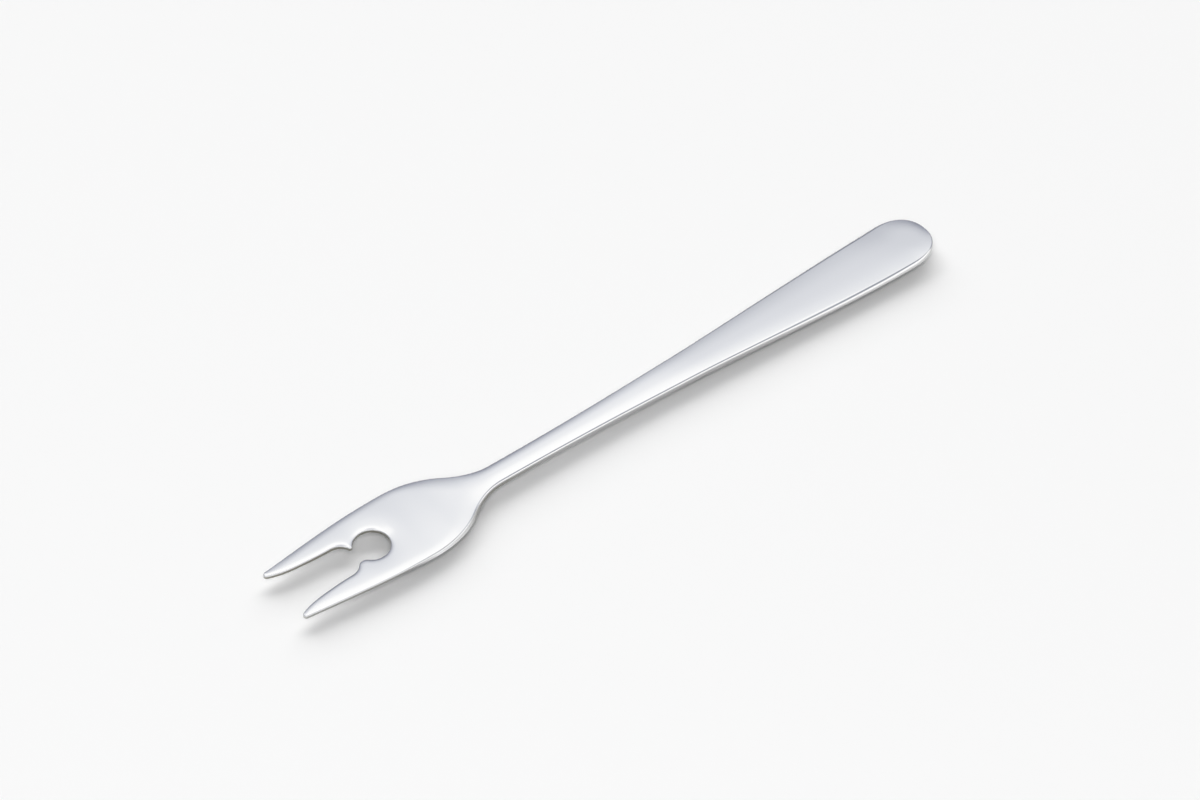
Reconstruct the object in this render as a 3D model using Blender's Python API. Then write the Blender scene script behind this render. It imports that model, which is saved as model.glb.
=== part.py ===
"""Small serving fork with a keyhole between its two tines, pressed from one piece of stainless sheet.

X runs from the tine tips to the handle end, Y across, Z up. The origin lies under the middle of the
length, on the plane that the flat underside of the handle rests on. Sizes below are in millimetres.
"""
import math

import bmesh
import bpy

MM = 0.001

# Overall length, tine tips to handle end.
LENGTH = 145.0

# Tines: tip rounding, where the tip centre sits off the axis, and the slopes of the two edges there.
TIP_RADIUS = 0.58
TIP_OFFSET = 5.80
TIP_OUTER_FLARE = 0.12
TIP_INNER_FLARE = 0.45

# Head: place and half width of its widest section, then of the middle of its shoulder.
HEAD_X = 26.5
HEAD_HALF = 8.59
SHOULDER_X = 37.76
SHOULDER_HALF = 5.13
SHOULDER_FALL = 0.712

# Neck: place and half width of the narrowest section.
NECK_X = 46.0
NECK_HALF = 2.22

# Handle: a section part way along it, the widest section and the length of the rounded end.
MID_X = 95.0
MID_HALF = 3.67
MID_FLARE = 0.063
HANDLE_HALF = 6.21
HANDLE_FLARE = 0.015
END_LENGTH = 7.6
END_FULLNESS = 2.1

# Keyhole: round hole on the axis, gate between two nubs, slot that opens towards the tips.
HOLE_X = 18.78
HOLE_RADIUS = 3.42
GATE_HALF = 1.8
NUB_RADIUS = 1.0
SLOT_REAR_RADIUS = 3.0
SLOT_HALF = 3.6
SLOT_FLARE_X = 6.0
SLOT_FLARE_HALF = 3.98

# Sheet thickness along the fork, with the place of the thickest section.
TIP_THICK = 0.85
HEAD_THICK = 1.0
NECK_THICK = 1.75
THICKEST_X = 83.0
THICKEST = 1.78
END_THICK = 1.3

# Underside: flat on the table along the handle, lifted at the head, the tips and the handle end.
REST_START = 68.7
REST_STOP = 17.8
REST_BEND = 0.6
NECK_LIFT = 0.42
HEAD_LIFT = 1.2
TIP_LIFT = 1.3
END_LIFT = 0.35

# Edges: the rolled upper edge of the head and of the handle, where it reaches its full width on the
# tines and round the hole, the most of a small outline radius that it takes, the small radius
# underneath, and the rise of the handle's top face.
HEAD_ROLL_WIDTH = 1.0
HEAD_ROLL_DROP = 0.3
HANDLE_ROLL_WIDTH = 0.6
HANDLE_ROLL_DROP = 0.45
ROLL_START = 8.0
ROLL_HOLE_TURN = 1.0
ROLL_LIMIT = 0.8
UNDER_RADIUS = 0.15
HANDLE_CROWN = 0.12

# Mesh fineness: steps along each stretch of the outline, round the edges and across the faces.
TIP_STEPS = 4
SLOT_STEPS = 7
REAR_STEPS = 5
NUB_STEPS = 5
HOLE_STEPS = 9
HEAD_STEPS = 16
HANDLE_STEPS = 16
END_STEPS = 9
ROLL_STEPS = 4
UNDER_STEPS = 2
ACROSS = 5
SLOPE_STEP = 0.001


def station_slope(stations, i):
    """A station's own slope, or one that follows its neighbours without overshooting them."""
    if len(stations[i]) == 3:
        return stations[i][2]
    near = stations[max(i - 1, 0):i + 2]
    sides = [(b[1] - a[1]) / (b[0] - a[0]) for a, b in zip(near, near[1:])]
    if len(sides) == 1:
        return sides[0]
    if sides[0] * sides[1] <= 0.0:
        return 0.0
    return 2.0 * sides[0] * sides[1] / (sides[0] + sides[1])


def height(stations, x):
    """Height at x of the smooth curve through stations of (x, height) or (x, height, slope)."""
    i = 0
    while i < len(stations) - 2 and x > stations[i + 1][0]:
        i += 1
    x0, h0 = stations[i][:2]
    x1, h1 = stations[i + 1][:2]
    span = x1 - x0
    u = min(max((x - x0) / span, 0.0), 1.0)
    rise = u * u * (3.0 - 2.0 * u)
    lead = u * (1.0 - u) * (1.0 - u) * span * station_slope(stations, i)
    trail = u * u * (u - 1.0) * span * station_slope(stations, i + 1)
    return h0 + (h1 - h0) * rise + lead + trail


def on_circle(centre, radius, angle):
    return (centre[0] + radius * math.cos(angle), centre[1] + radius * math.sin(angle))


def spaced(start, stop, steps):
    return [start + (stop - start) * i / steps for i in range(steps + 1)]


END_X = LENGTH - END_LENGTH
TIP = (TIP_RADIUS, TIP_OFFSET)
TIP_OUTER_STOP = math.pi / 2 + math.atan(TIP_OUTER_FLARE)
TIP_INNER_STOP = math.pi * 3 / 2 - math.atan(TIP_INNER_FLARE)
TIP_OUTER = on_circle(TIP, TIP_RADIUS, TIP_OUTER_STOP)
TIP_INNER = on_circle(TIP, TIP_RADIUS, TIP_INNER_STOP)
TIP_ROLL = ROLL_LIMIT * TIP_RADIUS
NUB_ROLL = ROLL_LIMIT * NUB_RADIUS

# Nub circle touches the hole from outside; the slot's rear circle touches the nub and the slot side.
HOLE = (HOLE_X, 0.0)
NUB_Y = GATE_HALF + NUB_RADIUS
NUB = (HOLE_X - math.sqrt((HOLE_RADIUS + NUB_RADIUS) ** 2 - NUB_Y ** 2), NUB_Y)
REAR_Y = SLOT_HALF - SLOT_REAR_RADIUS
REAR = (NUB[0] - math.sqrt((SLOT_REAR_RADIUS + NUB_RADIUS) ** 2 - (NUB_Y - REAR_Y) ** 2), REAR_Y)

# Smooth curves along the length: half widths of the outline and the slot, then heights and edge sizes.
OUTER_EDGE = [
    (TIP_OUTER[0], TIP_OUTER[1], TIP_OUTER_FLARE),
    (HEAD_X, HEAD_HALF, 0.0),
    (SHOULDER_X, SHOULDER_HALF, -SHOULDER_FALL),
    (NECK_X, NECK_HALF, 0.0),
    (MID_X, MID_HALF, MID_FLARE),
    (END_X, HANDLE_HALF, HANDLE_FLARE),
]
SLOT_EDGE = [
    (TIP_INNER[0], TIP_INNER[1], -TIP_INNER_FLARE),
    (SLOT_FLARE_X, SLOT_FLARE_HALF),
    (REAR[0], SLOT_HALF, 0.0),
]
UNDERSIDE = [
    (0.0, TIP_LIFT),
    (HEAD_X, HEAD_LIFT),
    (NECK_X, NECK_LIFT),
    (REST_START - REST_BEND, NECK_LIFT * REST_BEND / (REST_START - NECK_X) / 2.0),
    (REST_START, 0.0),
    (LENGTH - REST_STOP, 0.0),
    (LENGTH - REST_STOP + REST_BEND, END_LIFT * REST_BEND / REST_STOP / 2.0),
    (LENGTH, END_LIFT),
]
THICKNESS = [
    (0.0, TIP_THICK),
    (HEAD_X, HEAD_THICK),
    (NECK_X, NECK_THICK),
    (THICKEST_X, THICKEST),
    (LENGTH, END_THICK),
]
ROLL_WIDTH = [
    (0.0, TIP_ROLL),
    (ROLL_START, HEAD_ROLL_WIDTH),
    (SHOULDER_X, HEAD_ROLL_WIDTH),
    (NECK_X, HANDLE_ROLL_WIDTH),
    (LENGTH, HANDLE_ROLL_WIDTH),
]
ROLL_DROP = [
    (0.0, HEAD_ROLL_DROP),
    (SHOULDER_X, HEAD_ROLL_DROP),
    (NECK_X, HANDLE_ROLL_DROP),
    (LENGTH, HANDLE_ROLL_DROP),
]
CROWN = [
    (SHOULDER_X, 0.0),
    (NECK_X, HANDLE_CROWN),
    (END_X, HANDLE_CROWN),
    (LENGTH - HANDLE_ROLL_WIDTH, 0.0),
]


def curve_point(stations, x, side):
    """Outline point (x, y, outward x, outward y, roll width) on a curve; side 1 is outer, -1 inner."""
    rise = height(stations, x + SLOPE_STEP) - height(stations, x - SLOPE_STEP)
    slope = rise / (2.0 * SLOPE_STEP)
    size = side * math.hypot(1.0, slope)
    return (x, height(stations, x), -slope / size, 1.0 / size, height(ROLL_WIDTH, x))


def arc_point(centre, radius, angle, side, roll):
    """Outline point on an arc; side 1 has the steel inside the circle, -1 outside it."""
    x, y = on_circle(centre, radius, angle)
    return (x, y, side * math.cos(angle), side * math.sin(angle), roll)


def end_point(a):
    """Point of the rounded handle end; a runs from 0 where it starts to a right angle on the axis."""
    power = 2.0 / END_FULLNESS
    reach = END_LENGTH * math.sin(a) ** power
    half = HANDLE_HALF + HANDLE_FLARE * reach
    along = END_LENGTH * math.cos(a) ** (2.0 - power)
    across = HANDLE_FLARE * END_LENGTH * math.cos(a) ** 2 - half * math.sin(a) ** (2.0 - power)
    size = math.hypot(along, across)
    return (END_X + reach, half * math.cos(a) ** power, -across / size, along / size, HANDLE_ROLL_WIDTH)


def inner_chain():
    """Inner edge from the tine tip, along the slot and round the nub, to the hole's rearmost point."""
    chain = []
    for a in spaced(math.pi, TIP_INNER_STOP, TIP_STEPS):
        chain.append(arc_point(TIP, TIP_RADIUS, a, 1.0, TIP_ROLL))
    for x in spaced(TIP_INNER[0], REAR[0], SLOT_STEPS)[1:-1]:
        chain.append(curve_point(SLOT_EDGE, x, -1.0))
    to_nub = math.atan2(NUB[1] - REAR[1], NUB[0] - REAR[0])
    for i, a in enumerate(spaced(math.pi / 2, to_nub, REAR_STEPS)):
        roll = HEAD_ROLL_WIDTH + (NUB_ROLL - HEAD_ROLL_WIDTH) * i / REAR_STEPS
        chain.append(arc_point(REAR, SLOT_REAR_RADIUS, a, -1.0, roll))
    to_hole = math.atan2(HOLE[1] - NUB[1], HOLE[0] - NUB[0])
    for a in spaced(to_nub - math.pi, to_hole, NUB_STEPS)[1:]:
        chain.append(arc_point(NUB, NUB_RADIUS, a, 1.0, NUB_ROLL))
    for a in spaced(to_hole + math.pi, 0.0, HOLE_STEPS)[1:]:
        share = min(1.0, (to_hole + math.pi - a) / ROLL_HOLE_TURN)
        roll = NUB_ROLL + (HEAD_ROLL_WIDTH - NUB_ROLL) * share
        chain.append(arc_point(HOLE, HOLE_RADIUS, a, -1.0, roll))
    return chain


def outer_chain(inner):
    """Outer edge from the tine tip to the handle end; starts with one point opposite each inner one."""
    chain = []
    for a in spaced(math.pi, TIP_OUTER_STOP, TIP_STEPS):
        chain.append(arc_point(TIP, TIP_RADIUS, a, 1.0, TIP_ROLL))
    to_hole = len(inner) - HOLE_STEPS
    hole_back = HOLE_X + HOLE_RADIUS + HEAD_ROLL_WIDTH
    places = [p[0] for p in inner[TIP_STEPS + 1:to_hole]]
    places += spaced(inner[to_hole - 1][0], hole_back, HOLE_STEPS)[1:]
    places += spaced(hole_back, NECK_X, HEAD_STEPS)[1:]
    places += spaced(NECK_X, END_X, HANDLE_STEPS)[1:-1]
    chain += [curve_point(OUTER_EDGE, x, 1.0) for x in places]
    chain += [end_point(a) for a in spaced(0.0, math.pi / 2, END_STEPS)]
    return chain


def inset(p, depth):
    return (p[0] - p[2] * depth, p[1] - p[3] * depth)


def top_height(x):
    return height(UNDERSIDE, x) + height(THICKNESS, x)


def edge_section(p):
    """One section of the rounded edge at an outline point, from the top face round to the underside."""
    section = []
    for a in spaced(math.pi / 2, 0.0, ROLL_STEPS):
        x, y = inset(p, p[4] * (1.0 - math.cos(a)))
        section.append((x, y, top_height(x) - height(ROLL_DROP, x) * (1.0 - math.sin(a))))
    for a in spaced(0.0, math.pi / 2, UNDER_STEPS):
        x, y = inset(p, UNDER_RADIUS * (1.0 - math.cos(a)))
        section.append((x, y, height(UNDERSIDE, x) + UNDER_RADIUS * (1.0 - math.sin(a))))
    return section


def crown(x, share):
    """Gentle rise of the handle's top face between its edge, share 1, and the axis, share 0."""
    return height(CROWN, x) * (1.0 - share * share)


def face_row(outer, inner, top):
    """Points across the top face or the underside between two outline or axis points."""
    row = []
    for i in range(ACROSS + 1):
        share = i / ACROSS
        x = outer[0] + (inner[0] - outer[0]) * share
        y = outer[1] + (inner[1] - outer[1]) * share
        z = height(UNDERSIDE, x)
        if top:
            z = top_height(x) + crown(x, 1.0 - share)
        row.append((x, y, z))
    return row


def half_faces():
    """Quads of the half with y above zero, each a list of corner points."""
    inner = inner_chain()
    outer = outer_chain(inner)
    quads = []
    edge = [edge_section(p) for p in reversed(inner[1:])] + [edge_section(p) for p in outer]
    for a, b in zip(edge, edge[1:]):
        for i in range(len(a) - 1):
            quads.append([a[i], a[i + 1], b[i + 1], b[i]])
    for top in (True, False):
        rows = []
        for k, p in enumerate(outer):
            start = inset(p, p[4] if top else UNDER_RADIUS)
            stop = (start[0], 0.0)
            if k < len(inner):
                q = inner[k]
                stop = inset(q, q[4] if top else UNDER_RADIUS)
            rows.append(face_row(start, stop, top))
        for a, b in zip(rows, rows[1:]):
            for i in range(ACROSS):
                quad = [a[i], b[i], b[i + 1], a[i + 1]]
                quads.append(quad if not top else quad[::-1])
    return quads


def build_fork():
    mesh = bpy.data.meshes.new("fork")
    bm = bmesh.new()
    for side in (1.0, -1.0):
        for quad in half_faces():
            corners = [bm.verts.new(((x - LENGTH / 2) * MM, side * y * MM, z * MM)) for x, y, z in quad]
            bm.faces.new(corners)
    bmesh.ops.remove_doubles(bm, verts=bm.verts[:], dist=0.000001)
    bmesh.ops.dissolve_degenerate(bm, edges=bm.edges[:], dist=0.000001)
    bmesh.ops.recalc_face_normals(bm, faces=bm.faces[:])
    for face in bm.faces:
        face.smooth = True
    bm.to_mesh(mesh)
    bm.free()
    fork = bpy.data.objects.new("fork", mesh)
    bpy.context.scene.collection.objects.link(fork)
    return fork


def polished_stainless():
    steel = bpy.data.materials.new("polished_stainless")
    steel.use_nodes = True
    shader = steel.node_tree.nodes["Principled BSDF"]
    shader.inputs["Base Color"].default_value = (0.62, 0.62, 0.63, 1.0)
    shader.inputs["Metallic"].default_value = 1.0
    shader.inputs["Roughness"].default_value = 0.18
    return steel


for old in list(bpy.data.objects):
    bpy.data.objects.remove(old, do_unlink=True)
body = build_fork()
body.data.materials.append(polished_stainless())
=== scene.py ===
import math

import bmesh
import bpy
import numpy as np
from mathutils import Matrix, Vector


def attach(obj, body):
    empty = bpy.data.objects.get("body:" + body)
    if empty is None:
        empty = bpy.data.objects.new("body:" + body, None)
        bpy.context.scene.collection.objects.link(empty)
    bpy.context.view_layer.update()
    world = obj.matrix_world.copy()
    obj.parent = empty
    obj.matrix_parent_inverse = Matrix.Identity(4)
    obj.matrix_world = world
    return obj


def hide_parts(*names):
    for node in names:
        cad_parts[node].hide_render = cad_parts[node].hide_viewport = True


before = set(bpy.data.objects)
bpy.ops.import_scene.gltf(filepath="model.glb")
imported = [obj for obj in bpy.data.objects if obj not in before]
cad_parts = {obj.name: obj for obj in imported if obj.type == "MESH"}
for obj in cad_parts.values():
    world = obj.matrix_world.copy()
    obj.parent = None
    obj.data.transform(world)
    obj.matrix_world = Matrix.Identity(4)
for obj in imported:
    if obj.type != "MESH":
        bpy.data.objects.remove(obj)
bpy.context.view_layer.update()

scene = bpy.context.scene
scene.view_settings.view_transform = "Standard"
mm = 0.001
print("frame loaded:", sorted(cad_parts))


def linearColour(hexText):  # sRGB hex to the linear colour that sockets take
    channels = [int(hexText[i:i + 2], 16) / 255 for i in (1, 3, 5)]
    linear = [c / 12.92 if c <= 0.04045 else ((c + 0.055) / 1.055) ** 2.4 for c in channels]
    return (*linear, 1.0)


def addNode(tree, kind, settings=None, links=None):  # settings are properties, or sockets by name or number
    node = tree.nodes.new(kind)
    for name, value in (settings or {}).items():
        if isinstance(name, str) and hasattr(node, name):
            setattr(node, name, value)
        else:
            node.inputs[name].default_value = value
    for name, source in (links or {}).items():
        tree.links.new(source, node.inputs[name])
    return node


# Fork: sizes in mm, x from the tine tips, heights from the table; a list gives (x, value) along it
forkSize = {
    "length": 145.0,
    "tipRadius": 0.58, "tipOffset": 5.80, "tipOuterFlare": 0.12, "tipInnerFlare": 0.45,
    "tipReach": (0.25, 0.0), "tipReachLength": 12.0,  # extra length of the far and near tines, and its fade
    "headX": 26.5, "headHalf": 8.59,
    "shoulderX": 37.76, "shoulderHalf": 5.13, "shoulderFall": 0.712,
    "neckX": 46.0, "neckHalf": 2.22,
    "midX": 95.0, "midHalf": 3.67, "midFlare": 0.063,
    "handleHalf": 6.21, "handleFlare": 0.015, "endLength": 7.6, "endFullness": 2.25,
    "holeX": 18.78, "holeRadius": 3.42,
    "gateHalf": (1.6, 2.0), "nubRadius": (0.4, 1.4),  # on the far and the near side
    "slotRearRadius": 3.0, "slotHalf": 3.6, "slotFlareX": 6.0, "slotFlareHalf": 3.98,

    # sheet
    "underside": [
        (0.0, 0.59), (26.5, 0.67), (46.0, 0.34), (60.0, 0.32), (85.0, 0.31), (105.0, 0.26),
        (120.0, 0.38), (130.0, 0.51), (138.0, 0.71), (145.0, 1.08)],
    "thickness": [
        (0.0, 0.95), (11.0, 1.08), (26.5, 1.08), (33.0, 1.27), (43.0, 1.64), (60.0, 1.6),
        (85.0, 1.52), (105.0, 1.44), (120.0, 1.21), (130.0, 1.07), (138.0, 0.89), (145.0, 0.64)],
    "lean": [  # sideways slope of the top face
        (0.0, 0.0), (32.0, 0.0), (42.0, 0.04), (80.0, 0.05), (92.0, -0.005), (130.0, -0.025),
        (138.0, -0.055), (145.0, -0.08)],
    "headCrown": 220.0, "crownFade": 12.0,  # radius of the rise across the head, and its fade to the neck

    # top face falling to its edges
    "rollPower": 2.5,
    "outerRoll": [  # how far in from the outer edge the fall starts
        (0.0, 1.8), (28.0, 1.8), (38.0, 4.0), (130.0, 5.8), (137.4, 6.0), (141.0, 3.4), (145.0, 2.4)],
    "rollLimit": 0.97, "tineRollLimit": 0.8,  # most of that, as a share of the half width and of a tine
    "outerFall": [
        (0.0, 0.15), (8.0, 0.22), (26.5, 0.22), (38.0, 0.36), (47.0, 0.38), (95.0, 0.26),
        (120.0, 0.20), (145.0, 0.14)],
    "farFall": [  # added on the far side, blended in across the middle
        (0.0, 0.0), (95.0, 0.0), (105.0, 0.05), (130.0, 0.07), (139.0, 0.17), (145.0, 0.2)],
    "farFallWidth": 2.0,
    "innerRoll": 0.9, "innerFall": [(0.0, 0.10), (8.0, 0.16), (145.0, 0.16)],  # round the slot and the hole
    "dishes": [(0.10, 3.2, 3.5), (0.17, 5.0, 2.6)],  # dips round the slot and the hole: fall, reach, ease

    # edges
    "innerCorner": 0.2,
    "cornerRadius": [
        (0.0, 0.24), (18.0, 0.26), (23.0, 0.4), (33.0, 0.55), (47.0, 0.6), (100.0, 0.7),
        (118.0, 1.0), (130.0, 1.15), (139.0, 1.1), (142.0, 0.8), (145.0, 0.5)],
    "farCorner": [  # share of it on the far side
        (0.0, 1.0), (134.0, 0.95), (139.0, 0.72), (142.0, 0.65), (145.0, 1.0)],
    "edgeBreak": [  # radians of the crisp break where the corner starts
        (0.0, 0.0), (100.0, 0.0), (118.0, 0.2), (130.0, 0.42), (139.0, 0.45), (142.0, 0.25), (145.0, 0.0)],
    "farBreak": 0.2,  # share of it on the far side
    "wallTilt": [  # radians by which the outer wall leans out towards its foot
        (0.0, 0.0), (20.0, 0.0), (27.0, 0.48), (34.0, 0.48), (41.0, 0.1), (46.0, 0.0), (70.0, 0.08),
        (105.0, 0.18), (118.0, 0.24), (130.0, 0.4), (138.0, 0.52), (141.0, 0.38), (144.0, 0.0),
        (145.0, 0.0)],
    "wallDullAndShade": [  # how dull and dark the sheared outer wall is: partly its own duller finish, partly painted shade, set along the fork to how dark the wall looks where it mirrors the shadowed paper
        (0.0, 0.45), (18.0, 0.42), (23.0, 0.15), (33.0, 0.15), (42.0, 0.6), (50.0, 0.4), (60.0, 0.15),
        (145.0, 0.2)],
    # the slot's and the hole's walls take the full dull olive grey, partly their sheared finish and partly
    # painted shade
    "innerTone": 1.0,
    "underTone": -9.0,  # far below the walls' tones, so that the underside is bright right up to its rim
    "underRadius": 0.12, "underRoom": 1.5,  # height kept for the lower edge, in its radii

    # mesh
    "steps": {
        "tip": 10, "slot": 34, "rear": 14, "nub": 16, "hole": 40, "head": 56, "handle": 80, "end": 36,
        "corner": 10, "under": 3, "across": 18},
    "wallRows": (0.12, 0.5, 0.88),  # shares of the wall's height
    "behindHole": 1.0,  # from the hole's back to where the head's even rows begin
    "settleRounds": 3, "slopeStep": 0.001, "weldDistance": 0.0001,
}


def stationSlope(stations, i):  # a station's own slope, or one that follows its neighbours
    if len(stations[i]) == 3:
        return stations[i][2]
    around = stations[max(i - 1, 0):i + 2]
    sides = [(b[1] - a[1]) / (b[0] - a[0]) for a, b in zip(around, around[1:])]
    if len(sides) == 1:
        return sides[0]
    return 2 * sides[0] * sides[1] / (sides[0] + sides[1]) if sides[0] * sides[1] > 0 else 0.0


def valueAt(stations, x):  # smooth curve through (x, value) or (x, value, slope)
    i = 0
    while i < len(stations) - 2 and x > stations[i + 1][0]:
        i += 1
    (x0, v0), (x1, v1) = stations[i][:2], stations[i + 1][:2]
    span = x1 - x0
    u = min(max((x - x0) / span, 0.0), 1.0)
    lead = u * (1 - u) * (1 - u) * span * stationSlope(stations, i)
    trail = u * u * (u - 1) * span * stationSlope(stations, i + 1)
    return v0 + (v1 - v0) * u * u * (3 - 2 * u) + lead + trail


def spaced(start, stop, steps):
    return [start + (stop - start) * i / steps for i in range(steps + 1)]


def forkOutline(size, near):  # points (x, y, outward x, outward y) of one half, as if y were above zero
    steps = size["steps"]

    def arc(centre, radius, angles, side):
        return [(centre[0] + radius * math.cos(a), centre[1] + radius * math.sin(a),
                 side * math.cos(a), side * math.sin(a)) for a in angles]

    def along(stations, places, side):
        points, step = [], size["slopeStep"]
        for x in places:
            slope = (valueAt(stations, x + step) - valueAt(stations, x - step)) / (2 * step)
            long = side * math.hypot(1, slope)
            points.append((x, valueAt(stations, x), -slope / long, 1 / long))
        return points

    tip = (size["tipRadius"], size["tipOffset"])
    outerStop = math.pi / 2 + math.atan(size["tipOuterFlare"])
    innerStop = math.pi * 3 / 2 - math.atan(size["tipInnerFlare"])
    tipOuter = arc(tip, tip[0], [outerStop], 1)[0]
    tipInner = arc(tip, tip[0], [innerStop], 1)[0]
    endX = size["length"] - size["endLength"]
    hole = (size["holeX"], 0.0)
    nubRadius = size["nubRadius"][near]
    nubY = size["gateHalf"][near] + nubRadius
    nub = (hole[0] - math.sqrt((size["holeRadius"] + nubRadius) ** 2 - nubY ** 2), nubY)
    rearY = size["slotHalf"] - size["slotRearRadius"]
    rearReach = math.sqrt((size["slotRearRadius"] + nubRadius) ** 2 - (nubY - rearY) ** 2)
    rear = (nub[0] - rearReach, rearY)
    outerEdge = [
        (tipOuter[0], tipOuter[1], size["tipOuterFlare"]), (size["headX"], size["headHalf"], 0.0),
        (size["shoulderX"], size["shoulderHalf"], -size["shoulderFall"]),
        (size["neckX"], size["neckHalf"], 0.0), (size["midX"], size["midHalf"], size["midFlare"]),
        (endX, size["handleHalf"], size["handleFlare"])]
    slotEdge = [(tipInner[0], tipInner[1], -size["tipInnerFlare"]),
                (size["slotFlareX"], size["slotFlareHalf"]), (rear[0], size["slotHalf"], 0.0)]

    inner = arc(tip, tip[0], spaced(math.pi, innerStop, steps["tip"]), 1)  # tip to the hole's back
    inner += along(slotEdge, spaced(tipInner[0], rear[0], steps["slot"])[1:-1], -1)
    toNub = math.atan2(nub[1] - rear[1], nub[0] - rear[0])
    inner += arc(rear, size["slotRearRadius"], spaced(math.pi / 2, toNub, steps["rear"]), -1)
    toHole = math.atan2(-nub[1], hole[0] - nub[0])
    inner += arc(nub, nubRadius, spaced(toNub - math.pi, toHole, steps["nub"])[1:], 1)
    inner += arc(hole, size["holeRadius"], spaced(toHole + math.pi, 0.0, steps["hole"])[1:], -1)

    outer = arc(tip, tip[0], spaced(math.pi, outerStop, steps["tip"]), 1)  # tip to the handle end
    atHole = len(inner) - steps["hole"]
    backX = hole[0] + size["holeRadius"] + size["behindHole"]
    places = [p[0] for p in inner[steps["tip"] + 1:atHole]]
    places += spaced(inner[atHole - 1][0], backX, steps["hole"])[1:]
    places += spaced(backX, size["neckX"], steps["head"])[1:]
    places += spaced(size["neckX"], endX, steps["handle"])[1:-1]
    outer += along(outerEdge, places, 1)
    power = 2 / size["endFullness"]
    for a in spaced(0.0, math.pi / 2, steps["end"]):
        reach = size["endLength"] * math.sin(a) ** power
        half = size["handleHalf"] + size["handleFlare"] * reach
        run = size["endLength"] * math.cos(a) ** (2 - power)
        flare = size["handleFlare"] * size["endLength"] * math.cos(a) ** 2
        rise = flare - half * math.sin(a) ** (2 - power)
        long = math.hypot(run, rise)
        outer.append((endX + reach, half * math.cos(a) ** power, -rise / long, run / long))

    def reachOfRoll(x):  # width of the rounding that falls away to the edge
        half = valueAt(outerEdge, min(x, endX))
        wide = min(valueAt(size["outerRoll"], x), size["rollLimit"] * half)
        if x < rear[0]:
            tine = half - valueAt(slotEdge, x) if x > tip[0] else tip[0]
            wide = min(wide, max(size["tineRollLimit"] * tine, tip[0]))
        return wide

    def dishes(x, y):  # distance to the slot and to the hole as if the nubs were not there
        toHole = math.hypot(x - hole[0], y) - size["holeRadius"]
        if x > rear[0]:
            toSlot = math.hypot(x - rear[0], y - rear[1]) - size["slotRearRadius"]
        else:
            toSlot = y - valueAt(slotEdge, max(x, tipInner[0]))
        return max(0.0, toSlot), max(0.0, toHole)
    return inner, outer, reachOfRoll, dishes


def edgeDistance(points, line):  # distance from each point to a polyline, in the plane
    starts, runs = line[:-1], line[1:] - line[:-1]
    away = points[:, None, :] - starts[None, :, :]
    share = np.clip((away * runs).sum(2) / (runs * runs).sum(1), 0.0, 1.0)
    return np.sqrt(((away - share[..., None] * runs) ** 2).sum(2)).min(1)


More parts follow.
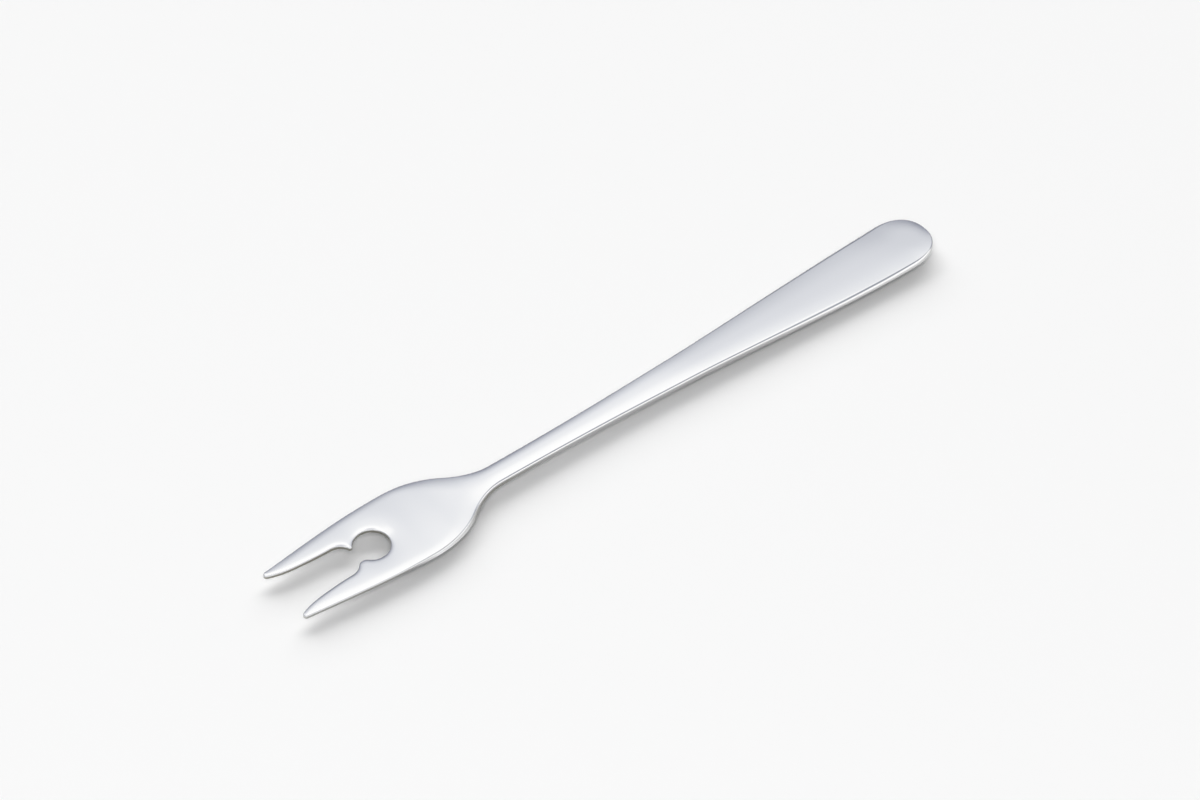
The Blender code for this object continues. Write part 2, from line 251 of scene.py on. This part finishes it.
def forkHalf(size, near):  # quads of one half, each corner (x, y, z, wall tone)
    steps = size["steps"]
    inner, outer, reachOfRoll, dishes = forkOutline(size, near)

    def inset(p, depth):
        return (p[0] - p[2] * depth, p[1] - p[3] * depth)

    def outerFall(x, y):  # blends from the near to the far side across the middle
        share = 0.5 + min(y / size["farFallWidth"], 1.0) * (-0.5 if near else 0.5)
        return valueAt(size["outerFall"], x) + share * valueAt(size["farFall"], x)

    def topHeight(x, y, toOuter, toInner):
        power = size["rollPower"]
        fall = outerFall(x, y) * max(0.0, 1 - toOuter / reachOfRoll(x)) ** power
        fall += valueAt(size["innerFall"], x) * max(0.0, 1 - toInner / size["innerRoll"]) ** power
        for away, (deep, reach, ease) in zip(dishes(x, y), size["dishes"]):
            fall += deep * max(0.0, 1 - away / reach) ** ease
        fade = min(max((size["neckX"] - x) / size["crownFade"], 0.0), 1.0)
        fall += fade * fade * (3 - 2 * fade) * y * y / (2 * size["headCrown"])
        return valueAt(size["underside"], x) + valueAt(size["thickness"], x) - fall

    def corner(p, isInner):  # radius of the upper edge and the angles where it starts and stops
        x, power = p[0], size["rollPower"]
        fall = valueAt(size["innerFall"], x) if isInner else outerFall(x, p[1])
        wide = size["innerRoll"] if isInner else reachOfRoll(x)
        room = valueAt(size["thickness"], x) - fall - size["underRoom"] * size["underRadius"]
        tilt = 0.0 if isInner else valueAt(size["wallTilt"], x)
        radius = valueAt(size["cornerRadius"], x) * (1.0 if near else valueAt(size["farCorner"], x))
        radius = min(radius, size["innerCorner"] if isInner else room / (1 - math.sin(tilt)))
        crisp = 0.0 if isInner else valueAt(size["edgeBreak"], x) * (1.0 if near else size["farBreak"])
        start = 0.0
        for again in range(size["settleRounds"]):  # the face's slope and the corner's inset are tied
            left = max(0.0, 1 - radius * (1 - math.sin(start)) / wide)
            start = max(crisp, math.atan(power * fall / wide * left ** (power - 1)))
        return radius, start, math.pi / 2 - tilt

    def border(p, isInner):  # inset of the line where the top face ends
        radius, start, stop = corner(p, isInner)
        return inset(p, radius * (1 - math.sin(start)))

    across = [(1 - math.cos(math.pi * i / steps["across"])) / 2 for i in range(steps["across"] + 1)]
    firstX, lastX = outer[len(inner) - 1][0], outer[-1][0]
    shrink = (border(outer[-1], False)[0] - firstX) / (lastX - firstX)
    topRows, underRows = [], []
    for k, p in enumerate(outer):
        a, b = border(p, False), inset(p, size["underRadius"])
        if k < len(inner):
            q = inner[k]
            c, d = border(q, k > 0), inset(q, size["underRadius"])  # both edges start at the tine's tip
        else:
            c, d = (firstX + (p[0] - firstX) * shrink, 0.0), (b[0], 0.0)
        topRows.append([(a[0] + (c[0] - a[0]) * s, a[1] + (c[1] - a[1]) * s) for s in across])
        underRows.append([(b[0] + (d[0] - b[0]) * s, b[1] + (d[1] - b[1]) * s) for s in across])
    flat = np.array([q for row in topRows for q in row])
    toOuter = edgeDistance(flat, np.array([p[:2] for p in outer])).reshape(len(topRows), -1)
    toInner = edgeDistance(flat, np.array([p[:2] for p in inner])).reshape(len(topRows), -1)
    topRows = [[(x, y, topHeight(x, y, o, i), 0.0) for (x, y), o, i in zip(row, outs, ins)]
               for row, outs, ins in zip(topRows, toOuter, toInner)]
    underRows = [[(x, y, valueAt(size["underside"], x), size["underTone"]) for x, y in row]
                 for row in underRows]

    def section(p, top, isInner):  # the edge from the top face's border round to the underside's
        radius, start, stop = corner(p, isInner)
        points = [top]
        for a in spaced(start, stop, steps["corner"])[1:]:
            x, y = inset(p, radius * (1 - math.sin(a)))
            points.append((x, y, top[2] - radius * (math.cos(start) - math.cos(a)), 0.0))
        low = valueAt(size["underside"], p[0]) + size["underRadius"]
        wallTop, wallIn = points[-1][2], radius * (1 - math.sin(stop))
        spread = (wallTop - low) / math.tan(stop)
        # the wall's dullness: partly its own sheared finish, partly painted shade where the wall mirrors
        # the shadowed paper
        tone = size["innerTone"] if isInner else valueAt(size["wallDullAndShade"], p[0])
        for share in size["wallRows"]:
            x, y = inset(p, wallIn - spread * share)
            points.append((x, y, wallTop + (low - wallTop) * share, tone))
        for a in spaced(0.0, math.pi / 2, steps["under"]):
            x, y = inset(p, wallIn - spread + (size["underRadius"] - wallIn + spread) * (1 - math.cos(a)))
            points.append((x, y, low - size["underRadius"] * math.sin(a), tone))
        points[-1] = (x, y, valueAt(size["underside"], x), tone)  # meets the underside's own edge
        return points

    edge = [section(p, topRows[k][-1], True) for k, p in reversed(list(enumerate(inner)))][:-1]
    edge += [section(p, topRows[k][0], False) for k, p in enumerate(outer)]
    quads = []
    for a, b in zip(edge, edge[1:]):
        quads += [(a[i], a[i + 1], b[i + 1], b[i]) for i in range(len(a) - 1)]
    for rows, up in ((topRows, True), (underRows, False)):
        for a, b in zip(rows, rows[1:]):
            for i in range(steps["across"]):
                quad = (a[i], b[i], b[i + 1], a[i + 1])
                quads.append(quad[::-1] if up else quad)
    return quads


def buildFork(size):
    mesh = bpy.data.meshes.new("skewerFork")
    bm = bmesh.new()
    toneLayer = bm.verts.layers.float.new("wallDullAndShade")
    for side in (1, -1):
        for quad in forkHalf(size, side < 0):
            corners = []
            for x, y, z, tone in quad:
                low = valueAt(size["underside"], x)
                share = (z - low) / valueAt(size["thickness"], x)
                z += valueAt(size["lean"], x) * share * side * y  # the underside stays level
                x -= size["tipReach"][side < 0] * max(0.0, 1 - x / size["tipReachLength"]) ** 2
                v = bm.verts.new(((x - size["length"] / 2) * mm, side * y * mm, z * mm))
                v[toneLayer] = tone
                corners.append(v)
            bm.faces.new(corners)
    bmesh.ops.remove_doubles(bm, verts=bm.verts[:], dist=size["weldDistance"] * mm)
    bmesh.ops.dissolve_degenerate(bm, edges=bm.edges[:], dist=size["weldDistance"] * mm)
    bmesh.ops.recalc_face_normals(bm, faces=bm.faces[:])
    for face in bm.faces:
        face.smooth = True
    bm.to_mesh(mesh)
    bm.free()
    piece = bpy.data.objects.new("skewerFork", mesh)
    scene.collection.objects.link(piece)
    return piece


# Stainless sheet, stamped and buffed: a clean grey mirror on top, duller olive grey on the sheared walls,
# which is partly their own finish and partly painted shade
stainlessLook = {
    "colour": "#d4d4d4", "wallDullAndShadeColour": "#a3a198", "roughness": 0.17, "wallRoughness": 0.34,
    "toneFrom": 0.15, "toneFull": 0.75,  # wall tones at which the wall's look starts and is complete
    "grainAlong": 9.0, "grainAcross": 0.22,  # mm: length and spacing of the buffing lines,
    "grainDepth": 0.0012, "grainDetail": 2.0,  # and their height; coarser than real ones, so that they show
    "patchSize": 14.0, "patchRoughness": 0.05,  # mm: size of the duller patches that uneven buffing leaves
    "patchFrom": 0.3, "patchFull": 0.7, "patchDetail": 3.0,
}


def polishedStainless(look):
    steel = bpy.data.materials.new("polishedStainless")
    steel.use_nodes = True
    tree = steel.node_tree
    shader = tree.nodes["Principled BSDF"]
    shader.inputs["Metallic"].default_value = 1.0
    tone = addNode(tree, "ShaderNodeAttribute", {"attribute_name": "wallDullAndShade"})
    wall = addNode(tree, "ShaderNodeMapRange", {
        "From Min": look["toneFrom"], "From Max": look["toneFull"]}, {"Value": tone.outputs["Fac"]})
    coord = addNode(tree, "ShaderNodeTexCoord")
    patch = addNode(tree, "ShaderNodeTexNoise", {
        "Scale": 1 / (look["patchSize"] * mm), "Detail": look["patchDetail"]},
        {"Vector": coord.outputs["Object"]})
    dull = addNode(tree, "ShaderNodeMapRange", {
        "From Min": look["patchFrom"], "From Max": look["patchFull"],
        "To Min": look["roughness"] - look["patchRoughness"] / 2,
        "To Max": look["roughness"] + look["patchRoughness"] / 2}, {"Value": patch.outputs["Fac"]})
    rough = addNode(tree, "ShaderNodeMix", {"data_type": "FLOAT", 3: look["wallRoughness"]}, {
        "Factor": wall.outputs["Result"], 2: dull.outputs["Result"]})
    # darker olive grey on the walls: partly their duller sheared finish, partly painted shade
    colour = addNode(tree, "ShaderNodeMix", {
        "data_type": "RGBA", 6: linearColour(look["colour"]), 7: linearColour(look["wallDullAndShadeColour"])},
        {"Factor": wall.outputs["Result"]})
    stretch = addNode(tree, "ShaderNodeMapping", {"Scale": (
        1 / (look["grainAlong"] * mm), 1 / (look["grainAcross"] * mm), 1 / (look["grainAcross"] * mm))},
        {"Vector": coord.outputs["Object"]})
    grain = addNode(tree, "ShaderNodeTexNoise", {"Scale": 1.0, "Detail": look["grainDetail"]}, {
        "Vector": stretch.outputs["Vector"]})
    bump = addNode(tree, "ShaderNodeBump", {"Strength": 1.0, "Distance": look["grainDepth"] * mm}, {
        "Height": grain.outputs["Fac"]})
    tree.links.new(colour.outputs[2], shader.inputs["Base Color"])
    tree.links.new(rough.outputs[0], shader.inputs["Roughness"])
    tree.links.new(bump.outputs["Normal"], shader.inputs["Normal"])
    return steel


forkPiece = buildFork(forkSize)
forkPiece.data.materials.append(polishedStainless(stainlessLook))
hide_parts("fork")
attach(forkPiece, "root")
print("fork built:", len(forkPiece.data.polygons), "faces")

# Studio: pale floor, low soft key from behind, and a soft surround that steel mirrors
floorLook = {  # White paper, uncoated: matt and even, almost without shine
    "size": 6.0, "drop": 0.0009,  # metres; light passes under the fork, so the paper lies a little lower
    "colour": "#f4f4f4", "roughness": 0.9, "specular": 0.1,
}


def makeFloor(look):
    half = look["size"] / 2
    mesh = bpy.data.meshes.new("paperFloor")
    corners = [(x * half, y * half, -look["drop"]) for x, y in ((-1, -1), (1, -1), (1, 1), (-1, 1))]
    mesh.from_pydata(corners, [], [(0, 1, 2, 3)])
    paper = bpy.data.materials.new("whitePaper")
    paper.use_nodes = True
    shader = paper.node_tree.nodes["Principled BSDF"]
    shader.inputs["Base Color"].default_value = linearColour(look["colour"])
    shader.inputs["Roughness"].default_value = look["roughness"]
    shader.inputs["Specular IOR Level"].default_value = look["specular"]
    mesh.materials.append(paper)
    floor = bpy.data.objects.new("paperFloor", mesh)
    scene.collection.objects.link(floor)
    return floor


surroundLook = {  # bands are brightness by height, from level (0) to overhead (1)
    "brightest": 1.60, "fillStrength": 0.333,
    "backBands": [
        (0.0, "#565862"), (0.42, "#9396a2"), (0.743, "#dcdee3"), (0.86, "#f9f9f9"), (0.975, "#ffffff"),
        (1.0, "#bcbec6")],
    "frontBands": [
        (0.0, "#ffffff"), (0.42, "#ffffff"), (0.52, "#8c909a"), (0.80, "#969aa4"), (0.90, "#ffffff")],
    "frontFrom": -0.2, "frontFull": -0.5,  # y of the direction, where the back bands turn to the front ones
}


def makeSurround(look):
    world = bpy.data.worlds.new("softSurround")
    scene.world = world
    world.use_nodes = True
    tree = world.node_tree
    tree.nodes.clear()
    coord = addNode(tree, "ShaderNodeTexCoord")
    split = addNode(tree, "ShaderNodeSeparateXYZ", links={"Vector": coord.outputs["Generated"]})
    ramps = []
    for bands in (look["backBands"], look["frontBands"]):
        ramp = addNode(tree, "ShaderNodeValToRGB", links={"Fac": split.outputs["Z"]})
        while len(ramp.color_ramp.elements) < len(bands):
            ramp.color_ramp.elements.new(0.5)  # its own place follows
        for element, (place, colour) in zip(ramp.color_ramp.elements, bands):
            element.position = place
            element.color = linearColour(colour)
        ramps.append(ramp.outputs["Color"])
    front = addNode(tree, "ShaderNodeMapRange", {
        "interpolation_type": "SMOOTHSTEP", "From Min": look["frontFrom"], "From Max": look["frontFull"]},
        {"Value": split.outputs["Y"]})
    around = addNode(tree, "ShaderNodeMix", {"data_type": "RGBA"}, {
        "Factor": front.outputs["Result"], 6: ramps[0], 7: ramps[1]})
    mirrored = addNode(tree, "ShaderNodeBackground", {"Strength": look["brightest"]}, {
        "Color": around.outputs[2]})
    fill = addNode(tree, "ShaderNodeBackground", {"Strength": look["fillStrength"]})
    path = addNode(tree, "ShaderNodeLightPath")
    seen = addNode(tree, "ShaderNodeMath", {"operation": "MAXIMUM"},
                   {0: path.outputs["Is Camera Ray"], 1: path.outputs["Is Glossy Ray"]})
    seen = addNode(tree, "ShaderNodeMath", {"operation": "MAXIMUM"},
                   {0: seen.outputs[0], 1: path.outputs["Is Transmission Ray"]})
    mix = addNode(tree, "ShaderNodeMixShader", links={
        0: seen.outputs[0], 1: fill.outputs["Background"], 2: mirrored.outputs["Background"]})
    addNode(tree, "ShaderNodeOutputWorld", links={"Surface": mix.outputs["Shader"]})


def viewAxes(azimuth, elevation):  # right, up and back of something that looks at the fork from there
    a, e = math.radians(azimuth), math.radians(elevation)
    right = Vector((math.cos(a), math.sin(a), 0.0))
    back = Vector((math.sin(a) * math.cos(e), -math.cos(a) * math.cos(e), math.sin(e)))
    return right, back.cross(right), back


def placeLooking(thing, right, up, back, place):
    thing.matrix_world = Matrix.Translation(place) @ Matrix((right, up, back)).transposed().to_4x4()
    scene.collection.objects.link(thing)


lampLook = {  # degrees round from +X, degrees up, then distance, width and height in metres, and watts
    "backSoftbox": (60.0, 26.5, 6.0, 8.7, 3.4, 581.0),
    "frontFill": (229.0, 54.0, 1.5, 0.9, 0.9, 7.62),
}


def makeLamp(name, direction, rise, distance, wide, tall, watts):
    lamp = bpy.data.lights.new(name, "AREA")
    lamp.shape = "RECTANGLE"
    lamp.size, lamp.size_y, lamp.energy = wide, tall, watts
    softbox = bpy.data.objects.new(name, lamp)
    right, up, back = viewAxes(direction + 90, rise)  # a view's own angle counts from -Y
    placeLooking(softbox, right, up, back, back * distance)
    softbox.visible_glossy = False
    softbox.visible_camera = False


photoView = {  # where the photograph was taken from; slides are in metres across and up the picture
    "azimuth": -37.69, "elevation": 47.68, "distance": 1.0, "aim": (0.0, 0.0, 0.00075),
    "slideRight": -0.00252, "slideUp": 0.0015, "lens": 167.49, "sensor": 36.0, "clipStart": 0.01,
}


def makeCamera(view):
    lens = bpy.data.cameras.new("photoCamera")
    lens.lens, lens.sensor_width = view["lens"], view["sensor"]
    lens.clip_start = view["clipStart"]
    camera = bpy.data.objects.new("photoCamera", lens)
    right, up, back = viewAxes(view["azimuth"], view["elevation"])
    aim = Vector(view["aim"]) + right * view["slideRight"] + up * view["slideUp"]
    placeLooking(camera, right, up, back, aim + back * view["distance"])
    scene.camera = camera


floorPiece = makeFloor(floorLook)
makeSurround(surroundLook)
for name, lamp in lampLook.items():
    makeLamp(name, *lamp)
makeCamera(photoView)
print("studio set")
